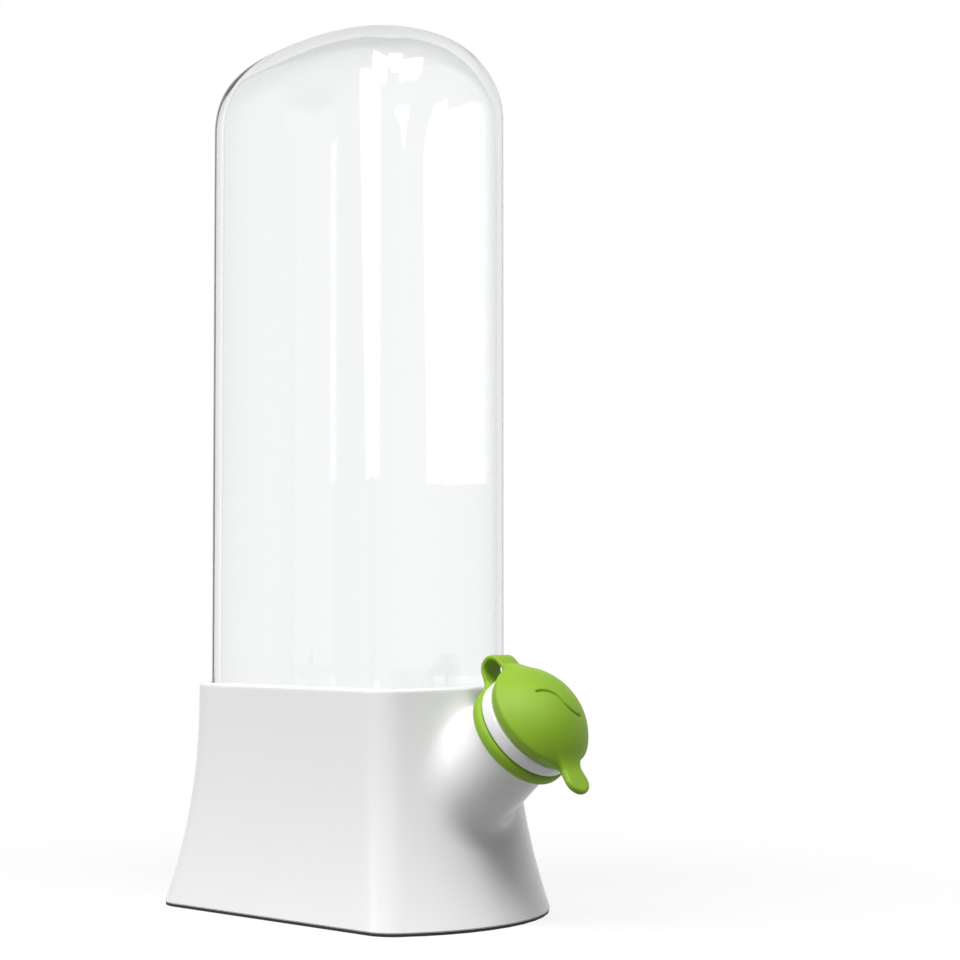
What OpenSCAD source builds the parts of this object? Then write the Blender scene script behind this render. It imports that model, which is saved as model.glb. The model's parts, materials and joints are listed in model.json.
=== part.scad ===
// Countertop herb keeper: a flared base that holds water, with a filling spout and its
// hinged stopper, under a clear cover that lifts off.
// Millimetres, +Z up, +X towards the spout. The origin is the centre of the resting face.

/* [Overall] */
// Height of the whole keeper from the table to the top of the cover
overall_h = 265; // [235:1:300]

/* [Base] */
// Height of the base's rim above the table
rim_z = 67; // [64:0.5:76]
// Length of the base at its rim
rim_l = 96.6; // [92:0.2:104]
// Width of the base at its rim
rim_w = 60; // [57:0.2:66]
// Radius of the upright corners at the rim
rim_corner_r = 11; // [9:0.5:13]
// Length of the base at its foot
foot_l = 121; // [114:0.5:130]
// Width of the base at its foot
foot_w = 73; // [70:0.5:80]
// Radius of the upright corners at the foot
foot_corner_r = 10.5; // [9:0.5:14]
// Radius of the gently bowed short ends
end_r = 51; // [46:1:70]
// How sharply the sides sweep out near the foot
flare_power = 2.4; // [1.6:0.1:3]
// Thickness of the base's wall
base_wall = 2.6; // [2:0.1:3]
// Small chamfer round the rim's outer edge
rim_chamfer = 0.6; // [0.3:0.1:1]

/* [Ledge and cover] */
// Distance from the rim down to the ledge that the cover stands on
ledge_depth = 11; // [9:0.5:13]
// Thickness of the ledge
ledge_t = 2; // [1.5:0.1:2.5]
// Width of the ledge, inwards from the socket's wall
ledge_w = 5; // [4.2:0.1:6]
// Thickness of the rim's wall round the cover
lip_wall = 2.8; // [2:0.1:3.4]
// Clearance between the cover and the socket's wall
cover_gap = 0.5; // [0.3:0.1:0.8]
// Radius of the cover's upright corners
cover_corner_r = 10.5; // [8:0.5:12]
// Thickness of the cover's wall
cover_wall = 3; // [2:0.1:3.4]
// Height of the cover's rounded top, above its straight sides
crown_rise = 28.5; // [22:0.5:32]
// How squarely the cover's sides turn in at the shoulder
shoulder_power = 3.5; // [2:0.1:4.5]
// How gently the cover's top comes to its middle
top_power = 1.6; // [1.4:0.1:2.4]
// How far up the top its outline turns from the plan to an oval
oval_power = 1.5; // [0.8:0.1:3]
// Thickness of the soft ring that the cover stands on
seal_t = 1.5; // [1:0.1:2]
// Clearance between one loose piece and its seat
seat_gap = 0.2; // [0.1:0.05:0.3]

/* [Underside] */
// Thickness of the non-slip pad under the base
pad_t = 0.8; // [0.6:0.1:2]
// How far the pad's edge lies inside the foot's edge
pad_inset = 0.3; // [0.2:0.1:1]
// Thickness of the bottom plate
plate_t = 3; // [2.6:0.1:3.6]
// Thickness of the gasket on the bottom plate
gasket_t = 1; // [0.8:0.1:1.4]
// Thickness of the skirt round the bottom plate
skirt_wall = 1.8; // [1.4:0.1:2.2]
// Width of the shoulder that the gasket presses on
shoulder_w = 3; // [2.4:0.1:3.6]
// Height of that shoulder
shoulder_t = 3; // [2:0.1:4]
// Clearance round the bottom plate
plate_gap = 0.15; // [0.1:0.05:0.3]
// Distance of the screw bosses from the edges of the bottom opening
boss_inset = 8; // [7:0.5:10]
// Radius of the screw bosses
boss_r = 3.4; // [3:0.1:4]
// Height of the screw bosses
boss_h = 11; // [10:0.5:14]
// Radius of the screws' shanks
screw_r = 1.25; // [1:0.05:1.5]
// Length of the screws' shanks
screw_l = 9; // [7:0.5:10]
// Radius of the screws' heads
head_r = 2.8; // [2.4:0.1:3]
// Height of the screws' heads
head_h = 1.5; // [1.2:0.1:1.8]

/* [Spout] */
// Slope of the spout above the horizontal
spout_angle = 36; // [33:1:38]
// Distance of the spout's mouth out from the rim's end
spout_reach = 21.3; // [20:0.2:24]
// Height of the spout's mouth below the rim
spout_drop = 9.1; // [8.6:0.1:11]
// Radius of the passage through the spout
passage_r = 8.5; // [7.5:0.1:8.8]
// Radius of the neck behind the collar
neck_r = 13.6; // [13.4:0.1:14.4]
// Radius of the neck's seat inside the collar
collar_seat_r = 12.6; // [12.2:0.1:13]
// Radius of the white lip at the spout's mouth
lip_r = 15.6; // [14.4:0.1:16]
// Thickness of the lip
lip_t = 4; // [3:0.1:4.6]
// Length of the lip's sleeve inside the neck
sleeve_l = 8.5; // [7:0.5:9]
// Thickness of the sleeve's wall
sleeve_wall = 2; // [1.6:0.1:2.2]
// Thickness of the sealing ring at the sleeve's end
ring_t = 1.2; // [1:0.1:1.6]

/* [Stopper] */
// Outer radius of the collar
collar_r = 16.1; // [15:0.05:16.8]
// Width of the collar along the spout
collar_w = 4; // [3.4:0.1:4.6]
// Outer radius of the stopper's cap
cap_r = 16.5; // [15.4:0.1:17.4]
// Height of the cap's upright edge
cap_edge = 3.2; // [2.6:0.1:4]
// Height of the cap's domed top above its edge
cap_dome = 9; // [6:0.5:10]
// Length of the plug under the cap
plug_l = 6.3; // [5:0.1:7]
// Clearance between the plug and the passage
plug_gap = 0.3; // [0.3:0.05:0.4]
// Chamfer at the plug's end
plug_chamfer = 1.6; // [1.4:0.1:2.4]
// Distance that the pull tab sticks out from the cap
tab_reach = 9; // [6:0.2:10]
// Radius of the pull tab's round end
tab_r = 4.2; // [3.4:0.1:5]
// Radius of the pull tab's root
tab_root_r = 3.7; // [3:0.1:4.4]
// Thickness of the pull tab
tab_t = 2.2; // [1.6:0.1:2.6]
// Width of the hinge strap
strap_w = 7.6; // [6.5:0.1:9]
// Thickness of the hinge strap
strap_t = 1.25; // [1:0.05:1.5]
// Distance from the cap's edge out to the middle of the strap's bend
strap_reach = 2.6; // [2.4:0.1:4]
// Outer radius of the strap's bend
bend_r = 4; // [3.6:0.1:4.6]
// How far the strap's two legs lean apart
strap_lean = 14; // [6:1:20]
// Width of the wavy groove on the cap
wave_w = 0.8; // [0.5:0.1:1.2]
// Depth of the wavy groove
wave_depth = 0.7; // [0.4:0.1:1.2]
// Radius of the groove's two bends
wave_r = 6.6; // [5:0.2:7.4]
// Angle that each bend turns through
wave_turn = 70; // [50:1:80]

/* [Hidden] */

$fn = 96;
cut = 1;                    // how far a cutter runs past what it cuts
end_steps = 10;             // steps along a bowed end
corner_steps = 7;           // steps round a corner
flare_steps = 14;           // levels of the base's swept sides
crown_steps = 12;           // levels of the cover's rounded top
crown_tip = 0.03;           // share of the plan left flat at the cover's very top
head_inset = 0.1;           // depth of a screw's head inside the plate
head_gap = 0.2;             // round a screw's head
access_gap = 0.6;           // round a screw's head, in the pad
shank_gap = 0.3;            // round a screw's shank, in the plate and the gasket
cross_l = 3.4;              // length of the cross recess in a screw's head
cross_w = 0.7;              // width of that recess
cross_depth = 0.8;          // depth of that recess
lip_chamfer = 0.5;          // at the outer edge of the spout's lip and of the cap
ring_inset = 0.3;           // lip ring's bore outside the passage
seal_inset = 0.5;           // cover seal's inner edge outside the ledge's
fit_gap = 0.05;             // radial clearance of a shank or a sleeve in its hole
strap_gap = 0.25;           // between the strap's end and the cap it hinges
neck_taper = 0.09;          // growth of the neck's radius per length towards the base
neck_sides = 48;            // sides of the neck's skin
root_blend = 4.5;           // how far the neck's root spreads over the end wall
root_top_share = 0.4;       // share of that spread that is missing at the top, near the rim
root_sink = 0.12;           // depth of the root's edge under the end wall's surface
root_steps = 6;             // steps along the root's curve
wave_x = 1.2;               // middle of the groove, down the cap from its centre
wave_y = -0.8;              // middle of the groove, across the cap
tab_lift = 1.5;             // height of the tab above the cap's underside
tab_sides = 32;             // sides of a full circle at the tab's ends
collar_round = 0.8;         // rounding of the collar's edges
strap_merge = 12;           // angle by which the strap's bend runs into its legs
leg_inset = 0.04;           // how much lower than the bend each face of a leg lies
level_crowding = 1.3;       // how closely the levels of the sides crowd towards the foot
inlet_l = 22;               // how far the passage's cutter runs on into the water space

// socket in the rim, and the cover that stands in it
socket_l = rim_l - 2 * lip_wall;
socket_w = rim_w - 2 * lip_wall;
cover_l = socket_l - 2 * cover_gap;
cover_w = socket_w - 2 * cover_gap;
cover_end_r = end_r - lip_wall - cover_gap;
ledge_z = rim_z - ledge_depth;
cover_foot_z = ledge_z + seal_t + seat_gap;
shoulder_z = overall_h - crown_rise;

// underside, from the pad up to the shoulder that the gasket presses on
plate_top_z = pad_t + plate_t;
seat_z = plate_top_z + gasket_t;
recess_l = base_l(seat_z) - 2 * skirt_wall;
recess_w = base_w(seat_z) - 2 * skirt_wall;
recess_corner_r = base_corner_r(seat_z) - skirt_wall;
recess_end_r = end_r - skirt_wall;
opening_l = recess_l - 2 * shoulder_w;
opening_w = recess_w - 2 * shoulder_w;
boss_x = opening_l / 2 - boss_inset;
boss_y = opening_w / 2 - boss_inset;
web_w = boss_r;
web_l = 2 * boss_inset;
head_z = pad_t + head_h + head_inset;
access_r = head_r + access_gap;

// spout: its mouth's centre, and the stations along its axis, counted outwards from there
spout_x = rim_l / 2 + spout_reach;
spout_z = rim_z - spout_drop;
collar_top = -lip_t - seat_gap;
collar_bottom = collar_top - collar_w;
neck_top = collar_bottom - seat_gap;
sleeve_r = passage_r + sleeve_wall;
seat_bottom = -lip_t - sleeve_l - ring_t;
neck_root = -spout_reach / cos(spout_angle);
cap_bottom = seat_gap;
plug_r = passage_r - plug_gap;
hinge_s = (cap_bottom + cap_edge / 2 + collar_top - strap_t) / 2;
hinge_d = cap_r + strap_reach;

// share of the foot's extra size that is left at height z
function flare(z) = pow(max(0, 1 - (z - pad_t) / (rim_z - pad_t)), flare_power);
function base_l(z) = rim_l + (foot_l - rim_l) * flare(z);
function base_w(z) = rim_w + (foot_w - rim_w) * flare(z);
function base_corner_r(z) = rim_corner_r + (foot_corner_r - rim_corner_r) * flare(z);

// outline seen from above: straight sides, bowed ends of radius er, corners of radius r
function plan(l, w, r, er) =
    let (x0 = l / 2 - er, yc = w / 2 - r,
         xc = x0 + sqrt((er - r) * (er - r) - yc * yc), a = atan2(yc, xc - x0))
    concat(
        [for (i = [0:end_steps]) let (t = -a + 2 * a * i / end_steps)
            [x0 + er * cos(t), er * sin(t)]],
        [for (i = [1:corner_steps]) let (t = a + (90 - a) * i / corner_steps)
            [xc + r * cos(t), yc + r * sin(t)]],
        [for (i = [0:corner_steps - 1]) let (t = 90 + (90 - a) * i / corner_steps)
            [-xc + r * cos(t), yc + r * sin(t)]],
        [for (i = [0:end_steps]) let (t = 180 - a + 2 * a * i / end_steps)
            [-x0 + er * cos(t), er * sin(t)]],
        [for (i = [1:corner_steps]) let (t = 180 + a + (90 - a) * i / corner_steps)
            [-xc + r * cos(t), -yc + r * sin(t)]],
        [for (i = [0:corner_steps - 1]) let (t = 270 + (90 - a) * i / corner_steps)
            [xc + r * cos(t), -yc + r * sin(t)]]);

// the plan at height z, shrunk towards the middle by share s, and turned by a share into the
// oval inside it
function section(z, l, w, r, er, s = 1, oval = 0) =
    [for (p = plan(l, w, r, er))
        let (k = s * (1 - oval + oval / norm([2 * p[0] / l, 2 * p[1] / w])))
        [p[0] * k, p[1] * k, z]];
// the base's outline at height z, drawn in by an inset
function base_section(z, inset, at) =
    section(at, base_l(z) - 2 * inset, base_w(z) - 2 * inset,
            base_corner_r(z) - inset, end_r - inset);

// closed solid through a stack of outlines with the same number of points
module skin(sections) {
    n = len(sections[0]);
    m = len(sections);
    sides = [for (k = [0:m - 2], i = [0:n - 1], half = [0:1])
        let (j = (i + 1) % n, lo = k * n, hi = lo + n)
        half == 0 ? [lo + i, hi + i, lo + j] : [hi + i, hi + j, lo + j]];
    ends = [[for (i = [0:n - 1]) i], [for (i = [n - 1:-1:0]) (m - 1) * n + i]];
    polyhedron(points = [for (s = sections) each s], faces = concat(ends, sides), convexity = 6);
}

// upright prism of the plan
module block(l, w, r, er, z0, z1) {
    translate([0, 0, z0])
        linear_extrude(height = z1 - z0)
            polygon(plan(l, w, r, er));
}

// moves its children to the spout's mouth, with their +Z along its axis, outwards
module at_spout() {
    translate([spout_x, 0, spout_z])
        rotate([0, 90 - spout_angle, 0])
            children();
}

// cylinder between two stations of the spout's axis
module barrel(s0, s1, r0, r1) {
    translate([0, 0, s0])
        cylinder(h = s1 - s0, r1 = r0, r2 = r1);
}

// repeats its children at the four screw bosses, each turned to face its corner
module at_bosses() {
    for (mx = [0, 1], my = [0, 1])
        mirror([mx, 0, 0])
            mirror([0, my, 0])
                translate([boss_x, boss_y, 0])
                    children();
}

// round boss with a web that runs out to the corner
module boss_outline(r) {
    circle(r = r);
    rotate(45)
        translate([0, -web_w / 2])
            square([web_l, web_w]);
}

module base_outside() {
    levels = [for (i = [0:flare_steps])
        pad_t + (rim_z - rim_chamfer - pad_t) * pow(i / flare_steps, level_crowding)];
    skin(concat([for (z = levels) base_section(z, 0, z)],
                [base_section(rim_z, rim_chamfer, rim_z)]));
}

// the water space, from the shoulder up to the ledge
module base_inside() {
    z0 = seat_z + shoulder_t;
    z1 = ledge_z - ledge_t;
    levels = [for (i = [0:flare_steps])
        z0 + (z1 - z0) * pow(i / flare_steps, level_crowding)];
    skin([for (z = levels) base_section(z, base_wall, z)]);
}

// where a line along the spout, offset across and upwards, meets the end wall's true surface
function root_at(across, up, s = neck_root, tries = 8) =
    tries == 0 ? s :
    let (x = spout_x - up * sin(spout_angle) + s * cos(spout_angle),
         z = spout_z + up * cos(spout_angle) + s * sin(spout_angle),
         wall_x = base_l(z) / 2 - end_r + sqrt(end_r * end_r - across * across))
    root_at(across, up, s - (x - wall_x), tries - 1);

function neck_at(s) = neck_r + neck_taper * (neck_top - s);

// station and radius on the neck's root at angle t from its top, for q from 0, on the end
// wall, to 1, on the neck: a curve that is tangent to both
function root_point(t, q) =
    let (blend = root_blend * (1 - root_top_share * (1 + cos(t)) / 2),
         r0 = neck_at(neck_root),
         s0 = root_at(r0 * sin(t), r0 * cos(t)),
         r1 = r0 + blend,
         s1 = root_at(r1 * sin(t), r1 * cos(t)) - root_sink,
         s2 = s0 + blend)
    (1 - q) * (1 - q) * [s1, r1] + 2 * q * (1 - q) * [s0, r0] + q * q * [s2, neck_at(s2)];

// ring of the neck's skin, in the spout's own axes, moved inwards by a depth
function root_ring(q, depth = 0) =
    [for (i = [0:neck_sides - 1])
        let (t = 360 * i / neck_sides, p = root_point(t, q))
        [-p[1] * cos(t), -p[1] * sin(t), p[0] - depth]];

// neck of the spout, spreading where it meets the end wall
module neck_outside() {
    at_spout()
        skin(concat([root_ring(0, base_wall / 2)],
                    [for (k = [0:root_steps]) root_ring(k / root_steps)],
                    [[for (i = [0:neck_sides - 1])
                        let (t = 360 * i / neck_sides)
                        [-neck_r * cos(t), -neck_r * sin(t), neck_top]]]));
}

module base_shell() {
    color("white")
    difference() {
        union() {
            difference() {
                union() {
                    base_outside();
                    neck_outside();
                }
                base_inside();
                // opening under the shoulder, and the recess for the bottom plate
                block(opening_l, opening_w, recess_corner_r - shoulder_w / 2,
                      recess_end_r - shoulder_w, seat_z - cut, seat_z + shoulder_t + cut);
                block(recess_l, recess_w, recess_corner_r, recess_end_r, pad_t - cut, seat_z);
            }
            intersection() {
                base_outside();
                translate([0, 0, seat_z])
                    linear_extrude(height = boss_h)
                        at_bosses()
                            boss_outline(boss_r);
            }
        }
        // socket for the cover, and the opening inside the ledge
        block(socket_l, socket_w, cover_corner_r + cover_gap, end_r - lip_wall,
              ledge_z, rim_z + cut);
        block(socket_l - 2 * ledge_w, socket_w - 2 * ledge_w, cover_corner_r + cover_gap - ledge_w / 2,
              end_r - lip_wall - ledge_w, ledge_z - ledge_t - cut, ledge_z + cut);
        // blind holes for the screws
        translate([0, 0, seat_z - cut])
            at_bosses()
                cylinder(h = screw_l + cut, r = screw_r + fit_gap);
        // passage, the sleeve's bore, and the collar's seat
        at_spout() {
            barrel(neck_root - inlet_l, cut, passage_r, passage_r);
            barrel(seat_bottom, cut, sleeve_r + fit_gap, sleeve_r + fit_gap);
            difference() {
                barrel(neck_top, cut, 2 * neck_r, 2 * neck_r);
                barrel(neck_top - cut, -lip_t - fit_gap, collar_seat_r, collar_seat_r);
            }
        }
    }
}

module bottom_plate() {
    color("whitesmoke")
    difference() {
        block(recess_l - 2 * plate_gap, recess_w - 2 * plate_gap, recess_corner_r - plate_gap,
              recess_end_r - plate_gap, pad_t, plate_top_z);
        at_bosses() {
            translate([0, 0, pad_t - cut])
                cylinder(h = plate_t + 2 * cut, r = screw_r + shank_gap);
            translate([0, 0, pad_t - cut])
                cylinder(h = head_z - pad_t + cut, r = head_r + head_gap);
        }
    }
}

// flat gasket with an eyelet round each screw
module bottom_gasket() {
    color("gainsboro")
    translate([0, 0, plate_top_z])
        linear_extrude(height = gasket_t)
            difference() {
                intersection() {
                    polygon(plan(recess_l - 2 * plate_gap, recess_w - 2 * plate_gap,
                                 recess_corner_r - plate_gap, recess_end_r - plate_gap));
                    union() {
                        difference() {
                            square([2 * foot_l, 2 * foot_w], center = true);
                            polygon(plan(opening_l, opening_w, recess_corner_r - shoulder_w / 2,
                                         recess_end_r - shoulder_w));
                        }
                        at_bosses()
                            boss_outline(boss_r);
                    }
                }
                at_bosses()
                    circle(r = screw_r + shank_gap);
            }
}

module plate_screws() {
    color("silver")
    at_bosses() {
        difference() {
            translate([0, 0, head_z - head_h])
                cylinder(h = head_h, r = head_r);
            for (turn = [0, 90])
                rotate(turn)
                    translate([-cross_l / 2, -cross_w / 2, head_z - head_h - cut])
                        cube([cross_l, cross_w, cut + cross_depth]);
        }
        translate([0, 0, head_z])
            cylinder(h = screw_l + seat_z - head_z - cut, r = screw_r);
    }
}

module foot_pad() {
    color("dimgray")
    difference() {
        block(foot_l - 2 * pad_inset, foot_w - 2 * pad_inset, foot_corner_r - pad_inset,
              end_r - pad_inset, 0, pad_t);
        at_bosses()
            translate([0, 0, -cut])
                cylinder(h = pad_t + 2 * cut, r = access_r);
    }
}

// flanged sleeve that caps the neck and keeps the collar on
module spout_lip() {
    color("white")
    at_spout()
        difference() {
            union() {
                barrel(-lip_t, -lip_chamfer, lip_r, lip_r);
                barrel(-lip_chamfer, 0, lip_r, lip_r - lip_chamfer);
                barrel(-lip_t - sleeve_l, -lip_t, sleeve_r, sleeve_r);
            }
            barrel(-lip_t - sleeve_l - cut, cut, passage_r, passage_r);
        }
}

// soft ring squeezed between the sleeve's end and the bottom of its bore
module lip_ring() {
    color("dimgray")
    at_spout()
        difference() {
            barrel(seat_bottom, seat_bottom + ring_t, sleeve_r, sleeve_r);
            barrel(seat_bottom - cut, seat_bottom + ring_t + cut, passage_r + ring_inset,
                   passage_r + ring_inset);
        }
}

module cap_collar() {
    color("yellowgreen")
    at_spout()
        difference() {
            union() {
                barrel(collar_bottom, collar_bottom + collar_round, collar_r - collar_round,
                       collar_r);
                barrel(collar_bottom + collar_round, collar_top - collar_round, collar_r, collar_r);
                barrel(collar_top - collar_round, collar_top, collar_r,
                       collar_r - collar_round / 2);
            }
            barrel(collar_bottom - cut, collar_top + cut, collar_seat_r + seat_gap,
                   collar_seat_r + seat_gap);
        }
}

// one leg of the strap, from its bend down towards the spout
module strap_leg(side) {
    rotate(side * strap_lean)
        translate([side > 0 ? bend_r - strap_t + leg_inset : leg_inset - bend_r, -2 * bend_r])
            square([strap_t - 2 * leg_inset, 2 * bend_r]);
}

// soft hinge: a band that leaves the collar, bends over and comes back to the cap
module cap_strap() {
    lean_x = 2 * bend_r * cos(strap_lean - strap_merge);
    lean_y = 2 * bend_r * sin(strap_lean - strap_merge);
    color("yellowgreen")
    at_spout()
        difference() {
            translate([-hinge_d, strap_w / 2, hinge_s])
                rotate([90, 0, 0])
                    linear_extrude(height = strap_w)
                        rotate(90)
                            union() {
                                difference() {
                                    circle(r = bend_r);
                                    circle(r = bend_r - strap_t);
                                    polygon([[0, 0], [-lean_x, lean_y], [-lean_x, -2 * bend_r],
                                             [lean_x, -2 * bend_r], [lean_x, lean_y]]);
                                }
                                strap_leg(1);
                                strap_leg(-1);
                            }
            barrel(collar_bottom - bend_r, collar_top + seat_gap, collar_r + fit_gap,
                   collar_r + fit_gap);
            barrel(collar_top + seat_gap / 2, cap_bottom + cap_edge + bend_r, cap_r + strap_gap,
                   cap_r + strap_gap);
        }
}

// stopper: domed cap, plug and pull tab in one
module spout_cap() {
    sphere_r = (cap_r * cap_r + cap_dome * cap_dome) / (2 * cap_dome);
    edge_top = cap_bottom + cap_edge;
    color("yellowgreen")
    at_spout()
        difference() {
            union() {
                barrel(cap_bottom, cap_bottom + lip_chamfer, cap_r - lip_chamfer, cap_r);
                barrel(cap_bottom + lip_chamfer, edge_top, cap_r, cap_r);
                intersection() {
                    translate([0, 0, edge_top + cap_dome - sphere_r])
                        sphere(r = sphere_r);
                    barrel(edge_top, edge_top + cap_dome, cap_r, cap_r);
                }
                barrel(cap_bottom - plug_l + plug_chamfer, cap_bottom, plug_r, plug_r);
                barrel(cap_bottom - plug_l, cap_bottom - plug_l + plug_chamfer,
                       plug_r - plug_chamfer, plug_r);
                hull() {
                    translate([cap_r - tab_root_r, 0, cap_bottom + tab_lift])
                        cylinder(h = tab_t, r = tab_root_r, $fn = tab_sides);
                    translate([cap_r + tab_reach - tab_r, 0, cap_bottom + tab_lift])
                        cylinder(h = tab_t, r = tab_r, $fn = tab_sides);
                }
            }
            wave_groove(edge_top + cap_dome - sphere_r, sphere_r);
        }
}

// half of the groove's outline: an arc that starts at the middle of the S
module wave_arc() {
    translate(wave_r * [cos(wave_turn), -sin(wave_turn)])
        intersection() {
            difference() {
                circle(r = wave_r + wave_w / 2);
                circle(r = wave_r - wave_w / 2);
            }
            polygon([[0, 0],
                     2 * wave_r * [-cos(wave_turn), sin(wave_turn)],
                     2 * wave_r * [-cos(wave_turn / 2), sin(wave_turn / 2)],
                     [-2 * wave_r, 0]]);
        }
}

// shallow S-shaped groove on the domed top
module wave_groove(centre_s, sphere_r) {
    difference() {
        translate([wave_x, wave_y, centre_s])
            linear_extrude(height = 2 * sphere_r)
                for (side = [0, 180])
                    rotate(side)
                        wave_arc();
        translate([0, 0, centre_s])
            sphere(r = sphere_r - wave_depth);
    }
}

// soft ring on the ledge, under the cover's edge
module cover_seal() {
    color("gainsboro")
    difference() {
        block(socket_l - 2 * seat_gap, socket_w - 2 * seat_gap, cover_corner_r + cover_gap - seat_gap,
              end_r - lip_wall - seat_gap, ledge_z, ledge_z + seal_t);
        block(socket_l - 2 * ledge_w + 2 * seal_inset, socket_w - 2 * ledge_w + 2 * seal_inset,
              cover_corner_r + cover_gap - ledge_w / 2, end_r - lip_wall - ledge_w,
              ledge_z - cut, ledge_z + seal_t + cut);
    }
}

// stack of outlines for the cover, drawn in by an inset, starting at height z0: straight up to
// the shoulder, then a rounded top
function cover_sections(inset, z0) =
    let (l = cover_l - 2 * inset, w = cover_w - 2 * inset,
         r = cover_corner_r - inset, er = cover_end_r - inset)
    concat([section(z0, l, w, r, er)],
           [for (i = [0:crown_steps])
               let (a = 90 * i / crown_steps, rise = pow(sin(a), 2 / shoulder_power))
               section(shoulder_z + (crown_rise - inset) * rise, l, w, r, er,
                       max(crown_tip, pow(cos(a), 2 / top_power)), pow(rise, oval_power))]);

module clear_cover() {
    color([0.8, 0.88, 0.9, 0.35])
    difference() {
        skin(cover_sections(0, cover_foot_z));
        skin(cover_sections(cover_wall, cover_foot_z - cut));
    }
}

base_shell();
bottom_plate();
bottom_gasket();
plate_screws();
foot_pad();
spout_lip();
lip_ring();
cap_collar();
cap_strap();
spout_cap();
cover_seal();
clear_cover();
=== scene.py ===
import json
import math

import bmesh
import bpy
import numpy as np
from mathutils import Matrix, Vector


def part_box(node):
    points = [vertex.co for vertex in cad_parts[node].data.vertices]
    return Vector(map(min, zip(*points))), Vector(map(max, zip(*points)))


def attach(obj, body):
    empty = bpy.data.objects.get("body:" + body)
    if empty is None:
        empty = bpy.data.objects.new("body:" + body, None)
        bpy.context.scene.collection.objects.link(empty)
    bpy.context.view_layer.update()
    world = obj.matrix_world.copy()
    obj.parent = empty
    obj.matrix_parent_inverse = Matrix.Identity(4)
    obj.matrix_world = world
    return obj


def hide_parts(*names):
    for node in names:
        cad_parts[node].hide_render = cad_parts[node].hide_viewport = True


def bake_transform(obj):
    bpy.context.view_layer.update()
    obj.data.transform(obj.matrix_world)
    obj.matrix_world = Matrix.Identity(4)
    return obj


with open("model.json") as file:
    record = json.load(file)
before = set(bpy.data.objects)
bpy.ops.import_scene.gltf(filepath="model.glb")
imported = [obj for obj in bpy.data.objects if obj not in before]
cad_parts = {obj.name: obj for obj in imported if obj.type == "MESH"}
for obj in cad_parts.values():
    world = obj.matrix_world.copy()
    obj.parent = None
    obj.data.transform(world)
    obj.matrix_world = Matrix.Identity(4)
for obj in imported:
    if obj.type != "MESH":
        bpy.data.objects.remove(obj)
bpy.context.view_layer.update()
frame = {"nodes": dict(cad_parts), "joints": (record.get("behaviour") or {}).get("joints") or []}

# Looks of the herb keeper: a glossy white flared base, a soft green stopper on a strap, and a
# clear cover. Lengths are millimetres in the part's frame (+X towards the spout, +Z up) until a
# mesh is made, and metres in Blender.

MM = 0.001


# ---------------------------------------------------------------- sizes

def node_box(node):
    """Lowest and highest corner of a CAD node, in millimetres."""
    low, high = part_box(node)
    return np.array(low) / MM, np.array(high) / MM


shell_low, shell_high = node_box("base_shell")
cover_low, cover_high = node_box("clear_cover")

PAD_TOP = node_box("foot_pad")[1][2]
RIM_Z = shell_high[2]
FOOT_L = -2 * shell_low[0]
FOOT_W = shell_high[1] - shell_low[1]
COVER_TOP = cover_high[2]
COVER_FOOT = cover_low[2]
COVER_L = cover_high[0] - cover_low[0]
COVER_W = cover_high[1] - cover_low[1]
LEDGE_Z = node_box("cover_seal")[0][2]
PLATE_TOP = node_box("bottom_plate")[1][2]

LIP_WALL = 2.8                       # rim's wall round the cover
COVER_GAP = 0.5
RIM_L = COVER_L + 2 * (LIP_WALL + COVER_GAP)
RIM_W = COVER_W + 2 * (LIP_WALL + COVER_GAP)
RIM_CORNER = 11.0
FOOT_CORNER = 10.5
END_R = 51.0                         # radius of the bowed short ends
FLARE_POWER = 2.4
FOOT_EDGE = 0.35                     # rounding of the base's lower edge
RIM_EDGE = 0.9                       # rounding of the rim's outer edge
MOUTH_EDGE = 0.4                     # rounding of its inner edge
SOCKET_DEPTH = 2.0                   # depth at which the rim's mouth meets the socket's wall
BASE_WALL = 2.6
LEDGE_T = 2.0
LEDGE_W = 5.0
COVER_CORNER = 10.5
COVER_WALL = 3.0
COVER_EDGE = 0.8                     # rounding of the cover's lower edge
CROWN_RISE = 28.5
SHOULDER_POWER = 3.5                 # how squarely the sides turn in at the shoulder
TOP_POWER = 1.6                      # how gently the top comes to its middle
OVAL_POWER = 1.5                     # how far up the outline turns from the plan to an oval
CROWN_TIP = 0.004                    # share of the outline left flat at the very top
SHOULDER_Z = COVER_TOP - CROWN_RISE
GASKET_T = 1.0
PLATE_SEAT = PLATE_TOP + GASKET_T    # underside of the shoulder over the bottom plate
SHOULDER_T = 3.0
SHOULDER_W = 3.0
SKIRT_WALL = 1.8

# the spout's axis and its stations, counted outwards from the mouth
SLOPE = math.radians(36)
AXIS = np.array([math.cos(SLOPE), 0.0, math.sin(SLOPE)])
UP = np.array([-math.sin(SLOPE), 0.0, math.cos(SLOPE)])
ACROSS = np.array([0.0, 1.0, 0.0])
SPOUT_REACH = 21.3
SPOUT_DROP = 9.1
MOUTH = np.array([RIM_L / 2 + SPOUT_REACH, 0.0, RIM_Z - SPOUT_DROP])
PASSAGE_R = 8.5
SLEEVE_R = 10.5
LIP_R = 15.6
LIP_T = 4.0
LIP_SLEEVE = 8.5
LIP_PLAY = 0.05                      # between the neck's end and the lip
LIP_ROUNDING = (0.8, 0.7, 0.5, 0, 0.3, 0.3)
RING_T = 1.2
SEAT_R = 12.6                        # neck's seat inside the collar
NECK_R = 13.6
NECK_TAPER = 0.09
BLEND_LOW, BLEND_HIGH = 5.0, 3.0     # width of the neck's blend, low down and near the rim
BLEND_FROM = 2.0                     # depth below the rim at which the blend starts to widen
BLEND_OVER = 14.0                    # height over which it does
COLLAR_R = 16.1
COLLAR_PLAY = 0.2                    # round the collar's seat
COLLAR_EDGE = 1.8
COLLAR_BORE_EDGE = 0.2
COLLAR_TOP = -4.2
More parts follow.
